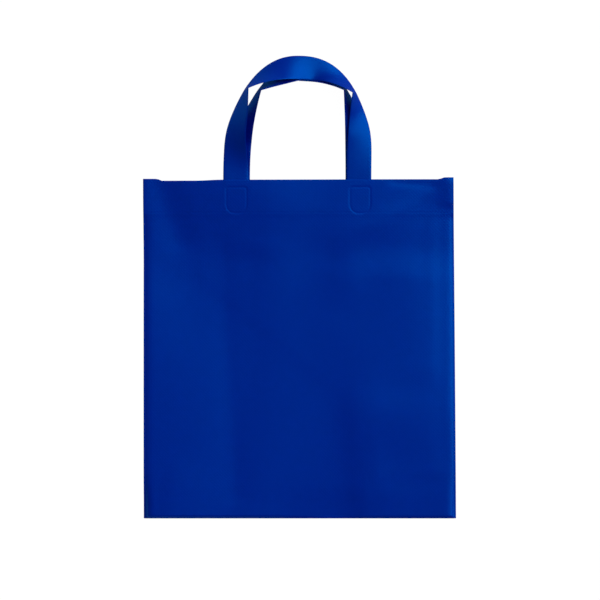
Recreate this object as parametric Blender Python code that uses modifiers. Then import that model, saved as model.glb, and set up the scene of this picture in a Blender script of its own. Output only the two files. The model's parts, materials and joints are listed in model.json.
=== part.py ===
"""Non-woven tote bag, lying on its back with its handles laid out above the mouth.

X runs across the bag, Y from the bottom fold to the handles, and Z is up from the surface that it lies on.
The body is one folded sheet, welded up both sides. Each handle is one flat strap, welded inside the mouth.
All sizes are in metres.
"""

import math

import bmesh
import bpy
import numpy as np

# Bag body
BAG_WIDTH = 0.360
BAG_HEIGHT = 0.392
CLOTH = 0.0006  # one layer of spunbond
HEM_DEPTH = 0.038  # the mouth's edge, folded inwards
SIDE_WELD = 0.004  # how far the side welds reach in from the edge
BOTTOM_FOLD = 0.0015
PRESSED_GAP = 0.0003  # between two layers that lie on each other
LOFT = 0.013  # how far the front panel stands off the back one at its fullest
MOUTH_LOFT = 0.0105
BOTTOM_RISE = 0.085  # the panel lifts to its full loft over this length above the bottom fold
HEM_STEP = 0.004  # the outer face rises to the hem's extra layers over this length
HEM_EDGE = 0.0006  # and the inner faces over this one

# Long soft creases in the front panel: distance of each from the right side edge and from the bottom at its two
# ends, its half width, and its depth
LEFT_CREASE = {"from_right": (0.2605, 0.2605), "up": (0.0, 0.305), "half_width": 0.020, "depth": 0.0022}
RIGHT_CREASE = {"from_right": (0.112, 0.118), "up": (0.0, 0.165), "half_width": 0.019, "depth": 0.0030}
CREASE_FADE = 0.050

# Handles. Of each loop: how full its outer edge is on the left and on the right (2 is an ellipse), how far its two
# corners lie below its top, the width that shows from above where the strap stands on its edge, and the tilt of its
# crown in degrees
STRAP_WIDTH = 0.0285
STRAP_THICKNESS = 0.0010
STRAP_SPACING = 0.1425  # between the middles of one handle's two ends
STRAP_TUCK = 0.036  # how far an end reaches down inside the mouth
HANDLE_RISE = 0.1435  # top of the front handle above the mouth
HANDLE_SHIFT = -0.0014  # the handles sit a little left of the middle
LOOP_STEP = 0.0035  # the back loop lies this far inside the front one
SEAT_GAP = 0.0005  # between a strap end and the cloth that it is welded to
FLOOR_GAP = 0.0002
LOOP_GAP = 0.0010  # between the two loops where they lie on each other
LEG_SETTLE = 0.090  # over this length above the mouth a strap comes down from the hem to its rest
LEG_FREE = 0.022  # over this length above the mouth it is free to tilt
FRONT_LOOP = {"fullness": (2.1, 2.4), "corner_drop": (0.0375, 0.0385), "pinch": (0.0022, 0.0026), "tilt": 24}
BACK_LOOP = {"fullness": (1.62, 2.02), "corner_drop": (0.0364, 0.0366), "pinch": (0.0042, 0.0034), "tilt": 15}
LEG_BEND = 2.2  # power of the curve that a leg's inner edge follows

# Fineness of the faceted surfaces
PANEL_COLUMNS = 28
PANEL_ROWS = 26
HEM_ROWS = 3
TUCK_ROWS = 4
LEG_ROWS = 18
CROWN_ROWS = 12
STRAP_COLUMNS = 3

HALF_WIDTH = BAG_WIDTH / 2
POCKET_HALF = HALF_WIDTH - SIDE_WELD
BOTTOM_Y = -(BAG_HEIGHT + HANDLE_RISE) / 2
RIM_Y = BOTTOM_Y + BAG_HEIGHT
HEM_Y = RIM_Y - HEM_DEPTH
BACK_REST = STRAP_THICKNESS / 2 + FLOOR_GAP
FRONT_REST = BACK_REST + STRAP_THICKNESS + LOOP_GAP


def smooth(t):
    """0 below t = 0 and 1 above t = 1, with a level start and end between them."""
    t = np.clip(t, 0.0, 1.0)
    return t * t * (3 - 2 * t)


def hem_share(y):
    """0 on the single cloth, 1 on the doubled cloth of the hem."""
    return np.clip((y - HEM_Y + HEM_STEP) / HEM_STEP, 0.0, 1.0)


def crease(x, y, fold):
    """Depth of a straight soft valley that fades out above its upper end."""
    along = np.clip((y - BOTTOM_Y - fold["up"][0]) / (fold["up"][1] - fold["up"][0]), 0.0, 1.0)
    middle = HALF_WIDTH - (fold["from_right"][0] + (fold["from_right"][1] - fold["from_right"][0]) * along)
    across = np.exp(-(((x - middle) / fold["half_width"]) ** 2))
    fade = 1 - smooth((y - BOTTOM_Y - fold["up"][1] + CREASE_FADE) / CREASE_FADE)
    return fold["depth"] * across * fade * smooth((y - BOTTOM_Y) / (BOTTOM_RISE / 2))


def front_face(x, y):
    """Height of the front panel's outer face: the pressed layers, plus the loft between the two panels."""
    pressed = CLOTH * (2 + 2 * hem_share(y))
    gap = PRESSED_GAP * smooth((HALF_WIDTH - abs(x)) / SIDE_WELD)
    crown = 1 - np.clip(abs(x) / POCKET_HALF, 0.0, 1.0) ** 3
    up = y - BOTTOM_Y - BOTTOM_FOLD
    rise = math.sin(math.pi / 2 * min(max(up / BOTTOM_RISE, 0.0), 1.0))
    loft = LOFT + (MOUTH_LOFT - LOFT) * smooth(up / BAG_HEIGHT)
    valleys = crease(x, y, LEFT_CREASE) + crease(x, y, RIGHT_CREASE)
    return pressed + gap + crown * (rise * loft - valleys)


def panel_thickness(y):
    """One layer, and two in the hem."""
    return CLOTH * (2 if y > HEM_Y - HEM_EDGE / 2 else 1)


def pocket_top(x, y):
    """Height of the front panel's inner face, which steps down at the hem."""
    return front_face(x, min(y, RIM_Y)) - panel_thickness(y)


def pocket_floor(x, y):
    """Height of the back panel's inner face, which steps up at the hem."""
    return panel_thickness(y)


def resting_face(x, y):
    """The back panel lies flat."""
    return 0.0


def material(name, colour, roughness):
    """A plain cloth material; colour is linear."""
    made = bpy.data.materials.new(name)
    made.use_nodes = True
    shader = made.node_tree.nodes["Principled BSDF"]
    shader.inputs["Base Color"].default_value = (*colour, 1.0)
    shader.inputs["Roughness"].default_value = roughness
    shader.inputs["Metallic"].default_value = 0.0
    return made


def add_object(name, bm, collection):
    """Puts a finished bmesh in the scene as one named object."""
    bmesh.ops.recalc_face_normals(bm, faces=bm.faces[:])
    mesh = bpy.data.meshes.new(name)
    bm.to_mesh(mesh)
    bm.free()
    made = bpy.data.objects.new(name, mesh)
    collection.objects.link(made)
    return made


def slab(name, columns, rows, upper, lower, collection):
    """A closed body between two height functions over a grid of columns and rows."""
    bm = bmesh.new()
    bmesh.ops.create_grid(bm, x_segments=len(columns) - 1, y_segments=len(rows) - 1, size=1.0)
    for vert in bm.verts:
        x = columns[round((vert.co.x + 1) / 2 * (len(columns) - 1))]
        y = rows[round((vert.co.y + 1) / 2 * (len(rows) - 1))]
        vert.co = (x, y, upper(x, y))
    under = bmesh.ops.extrude_face_region(bm, geom=bm.faces[:])["geom"]
    for vert in (item for item in under if isinstance(item, bmesh.types.BMVert)):
        vert.co.z = lower(vert.co.x, vert.co.y)
    levels = {}
    for face in (item for item in under if isinstance(item, bmesh.types.BMFace)):
        heights = {vert.co.z for vert in face.verts}
        if len(heights) == 1:
            levels.setdefault(heights.pop(), []).append(face)
    for faces in levels.values():
        bmesh.ops.dissolve_faces(bm, faces=faces)
    return add_object(name, bm, collection)


def make_bag_body(parts, cutters):
    """The outer form less the pocket, which is open at the mouth."""
    inner = list(np.linspace(-POCKET_HALF, POCKET_HALF, PANEL_COLUMNS + 1))
    panel = list(np.linspace(BOTTOM_Y + BOTTOM_FOLD, HEM_Y - HEM_STEP, PANEL_ROWS + 1))
    hem = list(np.linspace(HEM_Y, RIM_Y, HEM_ROWS + 1))
    inner_rows = panel + [HEM_Y - HEM_EDGE] + hem
    body = slab("bag_body", [-HALF_WIDTH] + inner + [HALF_WIDTH], [BOTTOM_Y] + inner_rows, front_face,
                resting_face, parts)
    pocket = slab("pocket", inner, inner_rows + [RIM_Y + HEM_DEPTH], pocket_top, pocket_floor, cutters)
    pocket.hide_render = True
    pocket.display_type = "WIRE"
    cut = body.modifiers.new("pocket", "BOOLEAN")
    cut.operation = "DIFFERENCE"
    cut.solver = "EXACT"
    cut.object = pocket
    body.data.materials.append(material("body_cloth", (0.0006, 0.0194, 0.2384), 0.62))


def half_loop(loop, side, half_span, rise):
    """Plan of one half of a loop above the mouth, from its foot to the middle of its crown.

    The outer edge is a quarter of a superellipse. The inner edge runs up the leg to a corner, where the strap
    stands on its outer edge, and from there along a parabola to the middle. Both come back as x away from the
    loop's middle and y above the mouth, one row for each row of the strap.
    """
    power = 2 / loop["fullness"][side]
    angle = np.linspace(0, math.pi / 2, 600)
    edge_x = half_span * np.abs(np.cos(angle)) ** power
    edge_y = rise * np.sin(angle) ** power
    length = np.concatenate([[0], np.cumsum(np.hypot(np.diff(edge_x), np.diff(edge_y)))])
    corner_y = rise - loop["corner_drop"][side]
    corner_length = np.interp(corner_y, edge_y, length)
    corner_x = np.interp(corner_y, edge_y, edge_x) - loop["pinch"][side]
    leg = np.linspace(0, 1, LEG_ROWS + 1)
    crown = np.linspace(0, 1, CROWN_ROWS + 1)[1:]
    at = np.concatenate([leg * corner_length, corner_length + crown * (length[-1] - corner_length)])
    outer = np.stack([np.interp(at, length, edge_x), np.interp(at, length, edge_y)], axis=1)
    foot_x = half_span - STRAP_WIDTH
    apex_y = rise - STRAP_WIDTH * math.cos(math.radians(loop["tilt"]))
    leg_x = foot_x + (corner_x - foot_x) * leg ** LEG_BEND
    crown_x = corner_x * (1 - crown)
    crown_y = apex_y - (apex_y - corner_y) * (crown_x / corner_x) ** 2
    inner = np.stack([np.concatenate([leg_x, crown_x]), np.concatenate([corner_y * leg, crown_y])], axis=1)
    return outer, inner


def loop_plan(loop, half_span, rise):
    """Plan points of both edges of a strap, from its left end to its right one, about the middle of the mouth."""
    tuck = -STRAP_TUCK * np.linspace(1, 0, TUCK_ROWS + 1)[:-1]
    edges = []
    for side, sign in ((0, -1), (1, 1)):
        outer, inner = half_loop(loop, side, half_span, rise)
        outer = np.concatenate([np.stack([np.full(TUCK_ROWS, half_span), tuck], axis=1), outer])
        inner = np.concatenate([np.stack([np.full(TUCK_ROWS, half_span - STRAP_WIDTH), tuck], axis=1), inner])
        edges.append([edge * (sign, 1) for edge in (outer, inner)])
    left, right = edges
    return [np.concatenate([a, b[-2::-1]]) + (HANDLE_SHIFT, RIM_Y) for a, b in zip(left, right)]


def strap_height(x, y, seat, rest, tilt_rise):
    """Height of the strap's middle layer: on its seat inside the mouth, free and tilted above it."""
    free = smooth((y - RIM_Y) / LEG_SETTLE)
    lift = smooth((y - RIM_Y) / LEG_FREE)
    return (1 - free) * seat(x, min(y, RIM_Y)) + free * rest + lift * tilt_rise


def front_seat(x, y):
    """Under the inner face of the front hem."""
    return pocket_top(x, max(y, HEM_Y)) - SEAT_GAP - STRAP_THICKNESS / 2


def back_seat(x, y):
    """On the inner face of the back hem."""
    return pocket_floor(x, max(y, HEM_Y)) + SEAT_GAP + STRAP_THICKNESS / 2


def make_handle(name, loop, half_span, rise, seat, rest, parts):
    """A flat strap of constant width, ruled between its two edges, its inner edge standing higher."""
    outer, inner = loop_plan(loop, half_span, rise)
    width = np.hypot(*(outer - inner).T)
    tilt = np.sqrt(np.clip(STRAP_WIDTH ** 2 - width ** 2, 0, None))
    bm = bmesh.new()
    bmesh.ops.create_grid(bm, x_segments=len(outer) - 1, y_segments=STRAP_COLUMNS, size=1.0)
    for vert in bm.verts:
        row = round((vert.co.x + 1) / 2 * (len(outer) - 1))
        share = (vert.co.y + 1) / 2
        x, y = outer[row] + (inner[row] - outer[row]) * share
        vert.co = (x, y, strap_height(x, y, seat, rest, tilt[row] * share))
    handle = add_object(name, bm, parts)
    wall = handle.modifiers.new("thickness", "SOLIDIFY")
    wall.thickness = STRAP_THICKNESS
    wall.offset = 0.0
    handle.data.materials.append(material(name + "_strap", (0.0030, 0.0343, 0.2462), 0.58))


def main():
    for old in list(bpy.data.objects):
        bpy.data.objects.remove(old)
    parts = bpy.data.collections.new("tote_bag")
    cutters = bpy.data.collections.new("cutters")
    bpy.context.scene.collection.children.link(parts)
    bpy.context.scene.collection.children.link(cutters)
    half_span = (STRAP_SPACING + STRAP_WIDTH) / 2
    make_bag_body(parts, cutters)
    make_handle("front_handle", FRONT_LOOP, half_span, HANDLE_RISE, front_seat, FRONT_REST, parts)
    make_handle("back_handle", BACK_LOOP, half_span - LOOP_STEP / 2, HANDLE_RISE - LOOP_STEP, back_seat, BACK_REST,
                parts)


main()
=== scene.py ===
# Non-woven tote bag on its back, with its handles laid out above the mouth.
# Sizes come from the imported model, in metres. Folds and welds are placed in photo pixels, x then y.
import json
import math
import bpy
import numpy as np
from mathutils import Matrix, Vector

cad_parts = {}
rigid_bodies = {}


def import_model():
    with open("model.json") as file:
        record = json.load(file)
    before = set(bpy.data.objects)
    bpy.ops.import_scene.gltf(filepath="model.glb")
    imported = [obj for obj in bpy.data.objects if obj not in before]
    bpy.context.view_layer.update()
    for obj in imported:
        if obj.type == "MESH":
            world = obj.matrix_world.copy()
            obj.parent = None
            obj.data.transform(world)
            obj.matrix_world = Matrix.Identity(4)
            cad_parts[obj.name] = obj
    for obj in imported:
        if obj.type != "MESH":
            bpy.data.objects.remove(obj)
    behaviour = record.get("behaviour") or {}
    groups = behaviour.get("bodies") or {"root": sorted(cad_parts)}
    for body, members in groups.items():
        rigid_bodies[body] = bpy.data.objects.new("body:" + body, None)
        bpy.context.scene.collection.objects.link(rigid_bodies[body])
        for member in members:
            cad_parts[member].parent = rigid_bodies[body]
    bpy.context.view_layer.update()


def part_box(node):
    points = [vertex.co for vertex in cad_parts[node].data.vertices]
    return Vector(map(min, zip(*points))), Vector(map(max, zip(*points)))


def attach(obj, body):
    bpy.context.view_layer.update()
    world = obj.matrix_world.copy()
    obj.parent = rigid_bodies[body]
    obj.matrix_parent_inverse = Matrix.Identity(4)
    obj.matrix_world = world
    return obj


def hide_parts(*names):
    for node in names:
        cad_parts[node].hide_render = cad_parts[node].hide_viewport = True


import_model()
bagLow, bagHigh = (np.array(corner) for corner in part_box("bag_body"))
halfWidth = (bagHigh[0] - bagLow[0]) / 2
bottomY, mouthY = bagLow[1], bagHigh[1]

# The photo's grid: the body is bodyWidth wide, its mouth lies at mouth, and the view's middle at middle
photo = {"bodyWidth": 311.0, "bodyMiddle": 298.5, "mouth": 180.0, "middle": 300.0, "size": 600.0}
pixel = 2 * halfWidth / photo["bodyWidth"]


def acrossAt(px):
    # x of a column of the photo: its distance from the body's middle times the size of a pixel
    return (np.asarray(px, float) - photo["bodyMiddle"]) * pixel


def upAt(py):
    # y of a row of the photo: the mouth's y less the distance below the mouth times the size of a pixel
    return mouthY - (np.asarray(py, float) - photo["mouth"]) * pixel


def ease(t):
    # 0 before t = 0, 1 after t = 1, and 3 t squared less 2 t cubed between them
    t = np.clip(t, 0.0, 1.0)
    return t * t * (3 - 2 * t)


def bell(d, width):
    # e to the power of minus (d over width) squared
    return np.exp(-((d / width) ** 2))


def rounded(t):
    # a swollen edge: steep at t = 0 and level from t = 1 on, 1 less (1 - t) squared, to the power 0.6
    return (1 - (1 - np.clip(t, 0.0, 1.0)) ** 2) ** 0.6


def spread(start, end, count, density):
    # count places from start to end, closer together where density is higher:
    # the running sum of the density is cut into equal steps
    fine = np.linspace(start, end, 4000)
    total = np.concatenate([[0], np.cumsum(density(fine))[:-1]])
    return np.interp(np.linspace(0, total[-1], count), total, fine)


def meshFromGrid(name, points, flat, closed=False):
    # points is rows by columns by 3 and flat is the same grid on the uncut cloth, in metres. Each face
    # joins a point to the next one in its row and the two beside them in the next row. closed joins the
    # last column to the first one and shuts both ends, where column k lies over column -k; its faces look
    # outwards where the sum of their normals times their places is above zero
    rows, columns = points.shape[:2]
    index = np.arange(rows * columns).reshape(rows, columns)
    if closed:
        index = np.concatenate([index, index[:, :1]], axis=1)
    quads = np.stack([index[:-1, :-1], index[:-1, 1:], index[1:, 1:], index[1:, :-1]], axis=-1).reshape(-1, 4)
    if closed:
        half = columns // 2
        up, down = np.arange(half), -np.arange(half) % columns
        lid = np.stack([index[0, up], index[0, down], index[0, down - 1], index[0, up + 1]], axis=-1)
        foot = np.stack([index[-1, up + 1], index[-1, down - 1], index[-1, down], index[-1, up]], axis=-1)
        quads = np.concatenate([quads, lid, foot])
        a, b, c, d = (points.reshape(-1, 3)[quads[:, k]] for k in range(4))
        if (np.cross(b - a, c - a) * a).sum() + (np.cross(c - a, d - a) * a).sum() < 0:
            quads = quads[:, ::-1]
    mesh = bpy.data.meshes.new(name)
    mesh.vertices.add(rows * columns)
    mesh.vertices.foreach_set("co", np.ascontiguousarray(points, np.float32).ravel())
    mesh.loops.add(quads.size)
    mesh.loops.foreach_set("vertex_index", np.ascontiguousarray(quads, np.int32).ravel())
    mesh.polygons.add(len(quads))
    mesh.polygons.foreach_set("loop_start", np.arange(0, quads.size, 4, dtype=np.int32))
    mesh.update(calc_edges=True)
    mesh.validate()
    layer = mesh.uv_layers.new(name="flatCloth")
    corners = np.zeros(len(mesh.loops), np.int32)
    mesh.loops.foreach_get("vertex_index", corners)
    layer.uv.foreach_set("vector", flat.reshape(-1, 2)[corners].astype(np.float32).ravel())
    mesh.shade_smooth()
    made = bpy.data.objects.new(name, mesh)
    bpy.context.scene.collection.objects.link(made)
    return made


# Body: one sheet, folded along the bottom, hemmed at the mouth and welded up the sides

bag = {
    "cloth": 0.00055,
    "hem": 0.038,
    "sideWeld": 0.0030,
    "pressedGap": 0.0003,  # between the panels inside the weld
    "loft": 0.0048,  # how far the front panel stands off the back one before the folds
    "seamFlat": 0.0006,  # a weld stays down under this much swell
    "seamShare": 0.91,  # and follows this share of what is above it
    "seamReach": 0.036,
    "seamRise": 0.060,  # from the bottom fold up
    "sideRun": 0.0065,  # the swell reaches its full height this far from the weld
    "bottomRun": 0.003,
    "bottomBend": 0.0010,  # radius of the bottom fold
    "hemStep": 0.007,
    "hemHidden": 0.75,  # share of the hem's thickness that goes inwards, where the bag is slack
    "hemLine": 0.00010,  # depth of the line where the hem ends, and its half width
    "hemLineWidth": 0.0007,
    "mouthReach": 0.030,  # the mouth's raised corners die out this far below it
    "columns": 172,
    "frontRows": 150,
    "backRows": 56,
    "flapRows": 14,
    "foldRows": 7,
}
# How much denser than elsewhere the grid's columns and rows lie: over the weld pads, out to so many of
# their half widths; at the sides, from this share of the half width on; in the hem; at the bottom fold
density = {
    "pads": 3.2,
    "padReach": 2.2,
    "sides": 3.0,
    "sideStart": 0.965,
    "sideRun": 0.01,
    "hem": 2.4,
    "hemStart": 0.004,
    "hemRun": 0.003,
    "bottom": 2.0,
    "bottomStart": 0.008,
    "bottomRun": 0.004,
}
# Soft folds of the front panel: start, end, width on either side and fade at the ends in pixels, and height
# in millimetres, above zero for a ridge and below it for a furrow
bagFolds = {
    "leftCrease": {"start": (251, 252), "end": (223, 560), "widths": (38, 26), "height": -1.47, "fade": 24},
    "rightSwell": {"start": (408, 262), "end": (396, 506), "widths": (92, 49), "height": 2.86, "fade": 39},
    "lowerRidge": {"start": (358, 389), "end": (374, 559), "widths": (18, 45), "height": 2.46, "fade": 58},
    "hemPucker": {"start": (157, 171), "end": (183, 249), "widths": (16, 15), "height": -1.49, "fade": 27},
    "leftDip": {"start": (163, 290), "end": (230, 305), "widths": (60, 46), "height": -2.90, "fade": 66},
    "upperDip": {"start": (294, 246), "end": (455, 250), "widths": (49, 101), "height": -3.57, "fade": 73},
    "rightTension": {"start": (353, 235), "end": (491, 160), "widths": (15, 7), "height": 1.43, "fade": 74},
    "mainSwell": {"start": (168, 151), "end": (435, 245), "widths": (57, 94), "height": 5.31, "fade": 138},
    "sideRise": {"start": (369, 473), "end": (440, 467), "widths": (13, 68), "height": 0.88, "fade": 21},
    "shortRidge": {"start": (345, 229), "end": (346, 298), "widths": (31, 21), "height": 1.37, "fade": 39},
    "leftSwell": {"start": (163, 279), "end": (217, 551), "widths": (104, 119), "height": 2.51, "fade": 65},
    "rightEdge": {"start": (430, 214), "end": (429, 380), "widths": (75, 10), "height": 1.05, "fade": 32},
    "lowerDip": {"start": (418, 441), "end": (273, 560), "widths": (41, 109), "height": -5.34, "fade": 100},
    "longTension": {"start": (201, 271), "end": (338, 385), "widths": (9, 62), "height": 0.25, "fade": 32},
    "leftTension": {"start": (176, 471), "end": (164, 540), "widths": (9, 54), "height": 0.61, "fade": 38},
    "middleRidge": {"start": (307, 282), "end": (419, 452), "widths": (20, 30), "height": 0.35, "fade": 21},
    "creaseLine": {"start": (221, 235), "end": (236, 502), "widths": (13, 10), "height": -0.42, "fade": 10},
    "shortCrease": {"start": (354, 228), "end": (329, 262), "widths": (15, 13), "height": -0.31, "fade": 22},
    "hemRipple": {"start": (390, 182), "end": (437, 187), "widths": (4, 6), "height": -0.49, "fade": 11},
    "cornerRise": {"start": (454, 181), "end": (453, 206), "widths": (11, 11), "height": 1.20, "fade": 10},
}
# The weld pads over the strap ends: places and sizes in pixels, groove and pressing in metres
weldPads = {
    "middles": (236.6, 360.0),
    "top": 187.5,
    "bottom": 213.5,
    "halfWidth": 10.3,
    "lowerRadius": 9.0,
    "upperRadius": 2.5,
    "groove": 0.00030,
    "grooveWidth": 0.0008,
    "pressed": 0.00012,
}
hemY = mouthY - bag["hem"]
stackedMiddle = bag["cloth"] * 1.5


def foldHeight(x, y):
    # sum over the folds of height times a bell across the fold, with its own width on either side, and an
    # ease at either end whose middle lies at the end
    total = np.zeros_like(x)
    for fold in bagFolds.values():
        start, end = (np.array([acrossAt(a), upAt(b)]) for a, b in (fold["start"], fold["end"]))
        long = np.hypot(*(end - start))
        way = (end - start) / long
        along = (x - start[0]) * way[0] + (y - start[1]) * way[1]
        across = (x - start[0]) * -way[1] + (y - start[1]) * way[0]
        width = np.where(across < 0, *fold["widths"]) * pixel
        fade = fold["fade"] * pixel
        ends = ease(along / fade + 0.5) * ease((long - along) / fade + 0.5)
        total += fold["height"] / 1000 * bell(across, width) * ends
    return total


def padPress(x, y):
    # distance to the outline of a rectangle with rounded corners, rounder below, and below zero inside it:
    # the length of what lies past the corner's middle, less the radius. A bell of it is the groove that the
    # welding tool leaves, and an ease of it presses the inside a little
    total = np.zeros_like(x)
    middleY = upAt((weldPads["top"] + weldPads["bottom"]) / 2)
    halfHeight = (weldPads["bottom"] - weldPads["top"]) / 2 * pixel
    for middle in weldPads["middles"]:
        dx, dy = x - acrossAt(middle), y - middleY
        radius = np.where(dy < 0, weldPads["lowerRadius"], weldPads["upperRadius"]) * pixel
        pastX = np.abs(dx) - weldPads["halfWidth"] * pixel + radius
        pastY = np.abs(dy) - halfHeight + radius
        corner = np.hypot(np.maximum(pastX, 0), np.maximum(pastY, 0))
        distance = corner + np.minimum(np.maximum(pastX, pastY), 0) - radius
        total += weldPads["groove"] * bell(distance, weldPads["grooveWidth"])
        total += weldPads["pressed"] * ease(-distance / weldPads["grooveWidth"])
    return total


def seamLift(x, y):
    # how far both layers stand off the floor towards a side weld: a share of the loft and the folds above
    # seamFlat, times a bell of the distance from the side, times an ease of the height above the bottom fold
    swell = np.maximum(bag["loft"] + foldHeight(x, y) - bag["seamFlat"], 0)
    beside = bell(halfWidth - np.abs(x), bag["seamReach"])
    return swell * bag["seamShare"] * beside * ease((y - bottomY) / bag["seamRise"])


def frontFace(x, y):
    # top of the front panel: the seam's lift, the pressed layers and their gap, plus what is left of the
    # loft and the folds times a rounded rise from each side weld and from the bottom fold, less the hem's
    # line and the weld pads
    crown = rounded((halfWidth - bag["sideWeld"] - np.abs(x)) / bag["sideRun"])
    up = y - bottomY
    rise = rounded((up - bag["bottomBend"]) / bag["bottomRun"])
    hemShare = ease((y - hemY) / bag["hemStep"] + 1) * (1 - bag["hemHidden"] * crown)
    pressed = bag["cloth"] * (2 + 2 * hemShare)
    gap = bag["pressedGap"] * ease((halfWidth - np.abs(x)) / bag["sideWeld"])
    lift = seamLift(x, y)
    height = lift + pressed + gap + crown * rise * (bag["loft"] + foldHeight(x, y) - lift)
    height -= bag["hemLine"] * bell(y - hemY, bag["hemLineWidth"]) * ease(crown * 4)
    return height - padPress(x, y)


# The mouth's edge in pixels: where each part lies, over what length it comes in, and how high it stands.
# left and right are the raised corners, dip is the low part up to the left strap, slope the whole edge's rise
mouthEdge = {
    "left": {"at": 157, "run": 5, "height": 1.0},
    "right": {"at": 438, "run": 7, "height": 1.9},
    "dip": {"at": 196, "run": 26, "height": -0.9},
    "slope": {"at": 210, "run": 230, "height": 0.6},
}
# How far the sides stand outside the half width, in millimetres: at the mouth, and how much more further
# down. The left side gets there within leftRun of the height
sideLines = {
    "rightTop": -0.9,
    "rightMore": 3.2,
    "leftTop": 0.3,
    "leftMore": 0.7,
    "leftRun": 0.25,
}


def outline(share, y):
    # x of a point that lies share of the half width from the middle: share times the half width, plus what
    # the side stands out times share cubed
    down = np.clip((mouthY - y) / (mouthY - bottomY), 0, 1)
    right = sideLines["rightTop"] + sideLines["rightMore"] * down
    left = sideLines["leftTop"] + sideLines["leftMore"] * ease(down / sideLines["leftRun"])
    return share * halfWidth + np.where(share > 0, right, left) / 1000 * np.abs(share) ** 3


def mouthLift(x):
    # how far the mouth's edge stands off a straight line: the sum over the parts of height times an ease.
    # The left corner takes 1 less its ease, and the dip lies between the left corner's ease and its own
    px = x / pixel + photo["bodyMiddle"]
    step = {name: ease((px - part["at"]) / part["run"]) for name, part in mouthEdge.items()}
    height = {name: part["height"] for name, part in mouthEdge.items()}
    corners = height["left"] * (1 - step["left"]) + height["right"] * step["right"]
    dip = height["dip"] * step["left"] * (1 - step["dip"])
    return (corners + dip + height["slope"] * step["slope"]) * pixel


def makeBag():
    # One grid of rows by columns that follows the sheet: front hem, turn at the mouth, front panel, bottom
    # fold, back panel, turn at the mouth, back hem. Solidify gives it the cloth's thickness
    padHalf = weldPads["halfWidth"] * pixel

    def columnDensity(c):
        # 1, plus the sum of an ease for each pad, plus an ease at both sides
        fromPads = [np.abs(c * halfWidth - acrossAt(middle)) / padHalf for middle in weldPads["middles"]]
        overPads = sum(ease(density["padReach"] - away) for away in fromPads)
        atSides = ease((np.abs(c) - density["sideStart"]) / density["sideRun"])
        return 1 + density["pads"] * overPads + density["sides"] * atSides

    def rowDensity(y):
        # 1, plus an ease from the hem's end up, plus an ease from the bottom fold down
        inHem = ease((y - hemY + density["hemStart"]) / density["hemRun"])
        atBottom = ease((bottomY + density["bottomStart"] - y) / density["bottomRun"])
        return 1 + density["hem"] * inHem + density["bottom"] * atBottom

    share = spread(-1, 1, bag["columns"], columnDensity)
    cloth, bend = bag["cloth"], bag["bottomBend"]
    clothX = share * halfWidth

    def panel(yLine, heightAbove):
        # one row for each y, with its height worked out over all columns
        y = np.broadcast_to(yLine[:, None], (len(yLine), len(share)))
        x = np.broadcast_to(clothX[None, :], y.shape)
        return np.stack([outline(np.broadcast_to(share[None, :], y.shape), y), y, heightAbove(x, y)], axis=-1)

    def turn(yMiddle, low, high, sign):
        # half a circle in y and z from high to low, bulging along y towards sign
        angle = np.linspace(0, math.pi, bag["foldRows"] + 2)[1:-1, None]
        middle, radius = (low + high) / 2, (high - low) / 2
        y = yMiddle + sign * np.abs(radius) * np.sin(angle)
        x = np.broadcast_to(outline(share, yMiddle), y.shape)
        return np.stack([x, y, middle + radius * np.cos(angle)], axis=-1)

    rimY = mouthY - cloth
    frontY = spread(rimY, bottomY + bend, bag["frontRows"], rowDensity)
    backY = np.linspace(bottomY + bend, rimY, bag["backRows"])
    flapY = np.linspace(hemY, rimY, bag["flapRows"])
    front = panel(frontY, lambda x, y: frontFace(x, y) - cloth / 2)
    back = panel(backY, lambda x, y: cloth / 2 + seamLift(x, y))
    frontFlap = panel(flapY, lambda x, y: frontFace(x, np.maximum(y, hemY)) + padPress(x, y) - stackedMiddle)
    backFlap = panel(flapY[::-1], lambda x, y: stackedMiddle + seamLift(x, y))
    frontTurn = turn(rimY, front[0, :, 2], frontFlap[-1, :, 2], 1)
    bottomTurn = turn(bottomY + bend, back[0, :, 2], front[-1, :, 2], -1)
    backTurn = turn(rimY, backFlap[0, :, 2], back[-1, :, 2], 1)
    points = np.concatenate([frontFlap, frontTurn, front, bottomTurn, back, backTurn, backFlap])
    points[..., 1] += mouthLift(points[..., 0]) * ease((points[..., 1] - mouthY) / bag["mouthReach"] + 1)
    middle = points[:, bag["columns"] // 2]
    along = np.concatenate([[0], np.cumsum(np.linalg.norm(np.diff(middle, axis=0), axis=1))])
    flat = np.stack(np.broadcast_arrays(clothX[None, :], along[:, None]), axis=-1)
    body = meshFromGrid("bagBody", points, flat)
    wall = body.modifiers.new("cloth", "SOLIDIFY")
    wall.thickness = cloth
    wall.offset = 0
    print("bag body: %d rows of %d, cloth %.3f m long" % (len(points), len(share), along[-1]))
    return body, float(along[-1])


# Handles: flat straps, each ruled between an outer edge that lies low and an inner edge that stands up

strap = {
    "width": 0.0285,
    "thickness": 0.0010,
    "tuck": 0.036,  # length of each end inside the mouth
    "seatGap": 0.0003,
    "settle": 0.090,  # a leg comes down from the hem to its rest over this height above the mouth
    "free": 0.055,  # and comes up on its edge over this one
    "legBend": 2.2,  # power of the inner edge on its way to the corner
    "slackPlace": 2.0,  # a higher power puts the slack of a leg closer to the corner
    "dipPlace": 1.6,  # and the dip of a crown closer to its middle
    "crownSoft": 0.3,  # rounds the tilt's course over the middle of the crown
    "legRows": 130,
    "crownRows": 90,
    "tuckRows": 16,
    "acrossRows": 18,
    "soften": 0.0022,  # corners are rounded over about this length
    "softenStand": 0.008,  # and the standing edge over this one
    "edgePower": 14,  # a higher power gives flatter faces and tighter edges
}
halfSpan = (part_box("front_handle")[1][0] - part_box("front_handle")[0][0]) / 2
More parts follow.
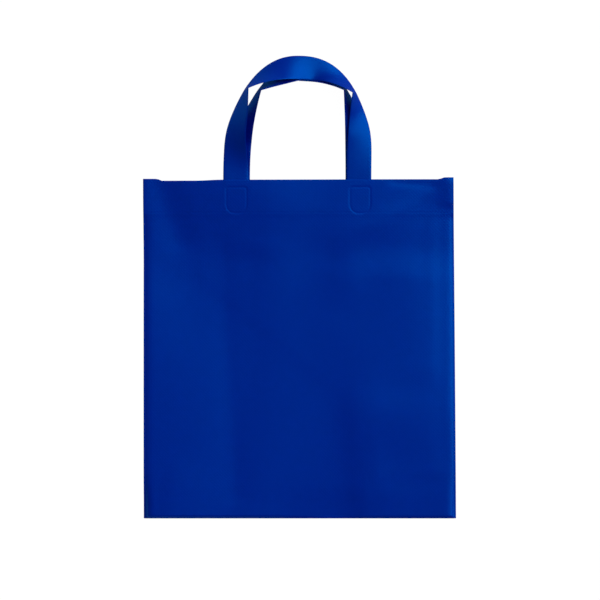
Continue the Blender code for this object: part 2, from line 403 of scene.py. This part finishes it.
# Of each loop, with left and right values in pairs: rise is its height above the mouth, rest the height of
# its low edge and shift its place in x. fullness is the power of the outer edge. cornerDrop is how far
# below the top a corner lies, and pinch how close the edges come there. tilt narrows the crown as seen from
# above, and turn is how soon it does. lean is the crown's slant, fall the power with which it ends and dip
# its change beside the middle. slack lowers the standing edge of a leg. A belly is its size, its height
# above the mouth and its length
frontLoop = {
    "halfSpan": halfSpan,
    "width": 0.0290,
    "rise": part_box("front_handle")[1][1] - mouthY,
    "rest": 0.0026,
    "shift": -0.0014,
    "fullness": (2.1, 2.4),
    "cornerDrop": (0.0380, 0.0435),
    "pinch": (0.0040, 0.0046),
    "tilt": 15,
    "lean": 30,
    "fall": (1.8, 2.6),
    "dip": (-0.25, 0.76),
    "slack": (0.0, 0.42),
    "turn": (1.05, 1.15),
    "belly": ((0.0024, 0.057, 0.028), (0.0026, 0.055, 0.028)),
    "innerBelly": ((-0.0026, 0.050, 0.022), (0.0, 0.050, 0.022)),
}
backLoop = {
    "halfSpan": halfSpan - 0.00175,
    "width": 0.0285,
    "rise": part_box("back_handle")[1][1] - mouthY + 0.0012,
    "rest": 0.0007,
    "shift": -0.0009,
    "fullness": (1.59, 2.02),
    "cornerDrop": (0.0376, 0.0378),
    "pinch": (0.0046, 0.0044),
    "tilt": 16,
    "lean": 27,
    "fall": (2.0, 4.0),
    "dip": (0.0, 0.6),
    "slack": (0.3, 0.40),
    "turn": (1.05, 1.0),
    "belly": ((0.0065, 0.050, 0.019), (0.0040, 0.050, 0.022)),
    "innerBelly": ((0.0, 0.050, 0.022), (0.0, 0.050, 0.022)),
}


def belly(above, size, middle, length):
    # size times a bell in the height above the mouth
    return size * bell(above - middle, length)


def halfPlan(loop, side):
    # One half of a loop, from inside the mouth to the middle of the crown.
    # Outer edge: a quarter of a superellipse plus a belly, cut into equal lengths on both sides of the corner.
    # Inner edge: a power curve up the leg to the corner less a belly, and over the crown the outer edge
    # moved in by the width times the cosine of the tilt, which falls to its least at the middle.
    # stand, how far the inner edge stands above the outer one: in a leg the root of width squared less plan
    # width squared, less the slack times a sine; over the crown the width times the sine of the lean,
    # changed by the dip times a sine, rising towards the corner as a power of what is left to the middle
    power = 2 / loop["fullness"][side]
    angle = np.linspace(0, math.pi / 2, 2000)
    edgeX = loop["halfSpan"] * np.abs(np.cos(angle)) ** power
    edgeY = loop["rise"] * np.sin(angle) ** power
    edgeX = edgeX + belly(edgeY, *loop["belly"][side])
    length = np.concatenate([[0], np.cumsum(np.hypot(np.diff(edgeX), np.diff(edgeY)))])
    cornerY = loop["rise"] - loop["cornerDrop"][side]
    cornerAt = np.interp(cornerY, edgeY, length)
    cornerX = np.interp(cornerY, edgeY, edgeX) - loop["pinch"][side]
    leg = np.linspace(0, 1, strap["legRows"] + 1)
    crown = np.linspace(0, 1, strap["crownRows"] + 1)[1:]
    at = np.concatenate([leg * cornerAt, cornerAt + crown * (length[-1] - cornerAt)])
    outer = np.stack([np.interp(at, length, edgeX), np.interp(at, length, edgeY)], axis=1)
    footX = loop["halfSpan"] - strap["width"]
    innerBelly = belly(cornerY * leg, *loop["innerBelly"][side])
    legX = footX + (cornerX - footX) * leg ** strap["legBend"] - innerBelly
    # at the corner the tilt's cosine is the pinch over root 2 over the width
    turned = math.acos(loop["pinch"][side] / math.sqrt(2) / loop["width"])
    tilt = math.radians(loop["tilt"])
    soft = strap["crownSoft"]
    toMiddle = (np.hypot(1 - crown, soft) - soft) / (math.hypot(1, soft) - soft)
    tilt = tilt + (turned - tilt) * toMiddle ** loop["turn"][side]
    way = np.gradient(outer[-len(crown):], axis=0)
    way = way / np.linalg.norm(way, axis=1, keepdims=True)
    inwards = np.stack([-way[:, 1], way[:, 0]], axis=1)
    crownLine = outer[-len(crown):] + inwards * (loop["width"] * np.cos(tilt))[:, None]
    crownLine[-1] = (0, crownLine[-1, 1])
    inner = np.concatenate([np.stack([legX, cornerY * leg], axis=1), crownLine])
    stand = np.sqrt(np.clip(loop["width"] ** 2 - ((outer - inner) ** 2).sum(axis=1), 0, None))
    stand[:len(leg)] *= 1 - loop["slack"][side] * np.sin(math.pi * leg ** strap["slackPlace"])
    dip = loop["dip"][side] * np.sin(math.pi * crown ** strap["dipPlace"])
    lean = math.sin(math.radians(loop["lean"])) * (1 - dip)
    higher = (math.sin(turned) - lean) * (1 - crown) ** loop["fall"][side]
    stand[-len(crown):] = loop["width"] * (lean + higher)
    tuckY = -strap["tuck"] * np.linspace(1, 0, strap["tuckRows"] + 1)[:-1]
    outer = np.concatenate([np.stack([np.full(len(tuckY), loop["halfSpan"]), tuckY], axis=1), outer])
    inner = np.concatenate([np.stack([np.full(len(tuckY), footX), tuckY], axis=1), inner])
    stand = np.concatenate([np.full(len(tuckY), stand[0]), stand])
    return outer * ((-1, 1)[side], 1), inner * ((-1, 1)[side], 1), stand


def soften(line, along, width):
    # each point becomes the mean of its neighbours, weighed by a bell of their distance along the strap
    weight = bell(along[:, None] - along[None, :], width)
    return weight @ line / weight.sum(axis=1)[:, None]


def makeStrap(name, loop, seat):
    # Both halves joined at the middle of the crown. z is the seat on the hem inside the mouth and the rest
    # further up, with an ease between them, plus the stand times the place across; both faces lie half a
    # thickness off it
    (outerL, innerL, standL), (outerR, innerR, standR) = halfPlan(loop, 0), halfPlan(loop, 1)
    place = (loop["shift"], mouthY)
    outer = np.concatenate([outerL, outerR[-2::-1]]) + place
    inner = np.concatenate([innerL, innerR[-2::-1]]) + place
    stand = np.concatenate([standL, standR[-2::-1]])
    along = np.concatenate([[0], np.cumsum(np.hypot(*np.diff(outer, axis=0).T))])
    stand = soften(stand[:, None], along, strap["softenStand"])[:, 0]
    edges = soften(np.concatenate([outer, inner], axis=1), along, strap["soften"])
    outer, inner = edges[:, :2], edges[:, 2:]
    # straight across from the outer edge (w = 0) to the inner one (w = 1), with rows closer at the edges
    w = (1 - np.cos(np.linspace(0, math.pi, strap["acrossRows"] + 1))) / 2
    plan = outer[:, None, :] + (inner - outer)[:, None, :] * w[None, :, None]
    above = plan[..., 1] - mouthY
    free, lift = ease(above / strap["settle"]), ease(above / strap["free"])
    z = (1 - free) * seat(plan[..., 0], np.minimum(plan[..., 1], mouthY)) + free * loop["rest"]
    z = z + lift * stand[:, None] * w[None, :]
    layer = np.concatenate([plan, z[..., None]], axis=-1)
    normal = np.cross(np.gradient(layer, axis=1), np.gradient(layer, along, axis=0))
    normal /= np.linalg.norm(normal, axis=-1, keepdims=True)
    # section: half thickness times the root of 1 less a high power of the distance from the middle
    half = strap["thickness"] / 2 * np.sqrt(np.clip(1 - np.abs(2 * w - 1) ** strap["edgePower"], 0, 1))
    top, under = layer + normal * half[None, :, None], layer - normal * half[None, :, None]
    points = np.concatenate([top, under[:, -2:0:-1]], axis=1)
    aroundWidth = np.concatenate([w, 2 - w[-2:0:-1]]) * strap["width"]
    flat = np.stack(np.broadcast_arrays(aroundWidth[None, :], along[:, None]), axis=-1)
    made = meshFromGrid(name, points, flat, closed=True)
    print("%s: %.3f m long, %.1f mm at its highest" % (name, along[-1], 1000 * points[..., 2].max()))
    return made, float(along[-1])


def underFrontHem(x, y):
    # middle of a strap below the front hem: the panel's top less two layers, a gap and half a strap
    hemUnder = frontFace(x, np.maximum(y, hemY)) + padPress(x, y) - 2 * bag["cloth"]
    return hemUnder - strap["seatGap"] - strap["thickness"] / 2


def onBackHem(x, y):
    # middle of a strap on the back hem: the seam's lift, two layers, a gap and half a strap
    return seamLift(x, y) + 2 * bag["cloth"] + strap["seatGap"] + strap["thickness"] / 2


# Materials


def linear(hexColour):
    # sRGB hex to linear red, green, blue: c over 12.92 up to 0.04045, and beyond it c plus 0.055, over
    # 1.055, to the power 2.4
    parts = [int(hexColour[k:k + 2], 16) / 255 for k in (1, 3, 5)]
    return [c / 12.92 if c <= 0.04045 else ((c + 0.055) / 1.055) ** 2.4 for c in parts] + [1.0]


def addNode(tree, kind, settings=None, inputs=None, links=None):
    # settings are the node's own properties, inputs its values, links the sockets that feed it
    node = tree.nodes.new(kind)
    for key, value in (settings or {}).items():
        setattr(node, key, value)
    for key, value in (inputs or {}).items():
        node.inputs[key].default_value = value
    for key, socket in (links or {}).items():
        tree.links.new(socket, node.inputs[key])
    return node


def newMaterial(name):
    # a material with an empty node tree
    made = bpy.data.materials.new(name)
    made.use_nodes = True
    made.node_tree.nodes.clear()
    return made, made.node_tree


cloth = {
    "bondPitch": 0.0026,  # real bond points lie 1.5 to 2 mm apart; drawn coarser so that they show
    "bondDepth": 0.00006,
    "bondInner": 0.18,  # a bond point's flat middle and its rim, as shares of the pitch
    "bondOuter": 0.38,
    "bondStrength": 0.6,
    "fibre": 1 / 1400,  # about 0.7 mm
    "fibreDepth": 0.0001,
    "fibreStrength": 0.25,
    "cloud": 1 / 90,  # about 11 mm
    "mattRoughness": 0.9,
    "ior": 1.49,
    "specular": 0.08,
    "gleamRoughness": 0.38,
}
# colour and thin are the cloth where its fibres lie thick and thin, through is the share of light that
# passes, and sheen is the colour of the gleam, with its share
bodyColours = {
    "name": "spunbondPolypropylene",
    "colour": "#000B88",
    "thin": "#00087E",
    "through": 0.10,
    "sheen": "#0094FF",
    "share": 0.085,
}
strapColours = {
    "name": "spunbondPolypropyleneStrap",
    "colour": "#000C8A",
    "thin": "#000982",
    "through": 0.20,
    "sheen": "#0094FF",
    "share": 0.085,
}


def spunbondPolypropylene(colours):
    # Spunbond polypropylene, melt-dyed royal blue: matt and even, with a grid of small pressed bond points,
    # faint clouds where fibres lie thicker, a weak blue gleam, and some light that comes through from
    # behind
    made, tree = newMaterial(colours["name"])
    uv = addNode(tree, "ShaderNodeUVMap", {"uv_map": "flatCloth"})
    flat = {"Vector": uv.outputs[0]}
    turned = addNode(tree, "ShaderNodeMapping", None, {"Rotation": (0, 0, math.radians(45))}, flat)
    bonds = addNode(tree, "ShaderNodeTexVoronoi", {"voronoi_dimensions": "2D", "feature": "F1"},
                    {"Scale": 1 / cloth["bondPitch"], "Randomness": 0.0}, {"Vector": turned.outputs[0]})
    dots = addNode(tree, "ShaderNodeMapRange", {"interpolation_type": "SMOOTHSTEP"},
                   {"From Min": cloth["bondInner"], "From Max": cloth["bondOuter"]},
                   {"Value": bonds.outputs["Distance"]})
    clouds = addNode(tree, "ShaderNodeTexNoise", {"noise_dimensions": "2D"},
                     {"Scale": 1 / cloth["cloud"], "Detail": 4.0, "Roughness": 0.6}, flat)
    fibres = addNode(tree, "ShaderNodeTexNoise", {"noise_dimensions": "2D"},
                     {"Scale": 1 / cloth["fibre"], "Detail": 2.0}, flat)
    mottled = addNode(tree, "ShaderNodeMix", {"data_type": "RGBA"},
                      {6: linear(colours["thin"]), 7: linear(colours["colour"])}, {0: clouds.outputs[0]})
    bumpFibres = addNode(tree, "ShaderNodeBump", None,
                         {"Strength": cloth["fibreStrength"], "Distance": cloth["fibreDepth"]},
                         {"Height": fibres.outputs[0]})
    bump = addNode(tree, "ShaderNodeBump", None,
                   {"Strength": cloth["bondStrength"], "Distance": cloth["bondDepth"]},
                   {"Height": dots.outputs[0], "Normal": bumpFibres.outputs[0]})
    shader = addNode(tree, "ShaderNodeBsdfPrincipled", None,
                     {"Roughness": cloth["mattRoughness"], "IOR": cloth["ior"],
                      "Specular IOR Level": cloth["specular"], "Specular Tint": linear(colours["sheen"])},
                     {"Base Color": mottled.outputs[2], "Normal": bump.outputs[0]})
    sheen = addNode(tree, "ShaderNodeBsdfGlossy", None,
                    {"Color": linear(colours["sheen"]), "Roughness": cloth["gleamRoughness"]},
                    {"Normal": bump.outputs[0]})
    through = addNode(tree, "ShaderNodeBsdfTranslucent", None, None,
                      {"Color": mottled.outputs[2], "Normal": bump.outputs[0]})
    cloudy = addNode(tree, "ShaderNodeMixShader", None, {0: colours["through"]},
                     {1: shader.outputs[0], 2: through.outputs[0]})
    both = addNode(tree, "ShaderNodeMixShader", None, {0: colours["share"]},
                   {1: cloudy.outputs[0], 2: sheen.outputs[0]})
    addNode(tree, "ShaderNodeOutputMaterial", None, None, {"Surface": both.outputs[0]})
    return made


paper = {
    "reach": 3.0,
    "below": 0.0002,  # so that the floor and the lowest cloth don't share one plane
    "glowShare": 0.96,  # the rest of what the camera sees is paper in the lamp's light
    "glow": 1.03,
    "grey": 0.9,
}


def paleFloor():
    # Matt white paper: it shows as white to the camera and in reflections, with a trace of a soft shadow
    made, tree = newMaterial("mattWhitePaper")
    path = addNode(tree, "ShaderNodeLightPath")
    seen = addNode(tree, "ShaderNodeMath", {"operation": "MAXIMUM"}, None,
                   {0: path.outputs["Is Camera Ray"], 1: path.outputs["Is Glossy Ray"]})
    seenAll = addNode(tree, "ShaderNodeMath", {"operation": "MAXIMUM"}, None,
                      {0: seen.outputs[0], 1: path.outputs["Is Transmission Ray"]})
    share = addNode(tree, "ShaderNodeMath", {"operation": "MULTIPLY"}, {1: paper["glowShare"]},
                    {0: seenAll.outputs[0]})
    matt = addNode(tree, "ShaderNodeBsdfDiffuse", None, {"Color": (paper["grey"],) * 3 + (1,)})
    glow = addNode(tree, "ShaderNodeEmission", None, {"Color": (1, 1, 1, 1), "Strength": paper["glow"]})
    both = addNode(tree, "ShaderNodeMixShader", None, None,
                   {0: share.outputs[0], 1: matt.outputs[0], 2: glow.outputs[0]})
    addNode(tree, "ShaderNodeOutputMaterial", None, None, {"Surface": both.outputs[0]})
    return made


# Build

bodyCloth = spunbondPolypropylene(bodyColours)
strapCloth = spunbondPolypropylene(strapColours)
body, clothLength = makeBag()
body.data.materials.append(bodyCloth)
frontStrap, frontLong = makeStrap("frontStrap", frontLoop, underFrontHem)
backStrap, backLong = makeStrap("backStrap", backLoop, onBackHem)
for piece in (frontStrap, backStrap):
    piece.data.materials.append(strapCloth)
print("materials: %d" % len(bpy.data.materials))

for piece, node, slotName in ((body, "bag_body", "body_cloth"), (frontStrap, "front_handle", "strap"),
                              (backStrap, "back_handle", "strap")):
    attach(piece, "root")
    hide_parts(node)

# Floor, light and camera

reach, below = paper["reach"], paper["below"]
corners = [(-reach, -reach, -below), (reach, -reach, -below), (reach, reach, -below), (-reach, reach, -below)]
floorMesh = bpy.data.meshes.new("floor")
floorMesh.from_pydata(corners, [], [(0, 1, 2, 3)])
floor = bpy.data.objects.new("floor", floorMesh)
bpy.context.scene.collection.objects.link(floor)
floorMesh.materials.append(paleFloor())

# key in watts per square metre; height above the floor, side from the x axis and softness in degrees
light = {"key": 3.6, "height": 38, "side": 40, "softness": 76, "world": 0.28}
key = bpy.data.lights.new("key", "SUN")
key.energy = light["key"]
key.angle = math.radians(light["softness"])
keyObject = bpy.data.objects.new("key", key)
keyObject.rotation_euler = (math.radians(90 - light["height"]), 0, math.radians(light["side"] + 90))
bpy.context.scene.collection.objects.link(keyObject)
world = bpy.data.worlds.new("studio")
world.use_nodes = True
world.node_tree.nodes["Background"].inputs["Color"].default_value = (1, 1, 1, 1)
world.node_tree.nodes["Background"].inputs["Strength"].default_value = light["world"]
bpy.context.scene.world = world

# The lens makes the photo's 600 pixels fit the sensor at the camera's height
view = {"height": 4.0, "sensor": 36.0, "far": 20.0}
camera = bpy.data.cameras.new("camera")
camera.sensor_width = view["sensor"]
camera.lens = view["sensor"] * view["height"] / (photo["size"] * pixel)
camera.clip_end = view["far"]
cameraObject = bpy.data.objects.new("camera", camera)
cameraObject.location = (float(acrossAt(photo["middle"])), float(upAt(photo["middle"])), view["height"])
bpy.context.scene.collection.objects.link(cameraObject)
bpy.context.scene.camera = cameraObject
bpy.context.scene.view_settings.view_transform = "Standard"
print("floor, light and camera stand")
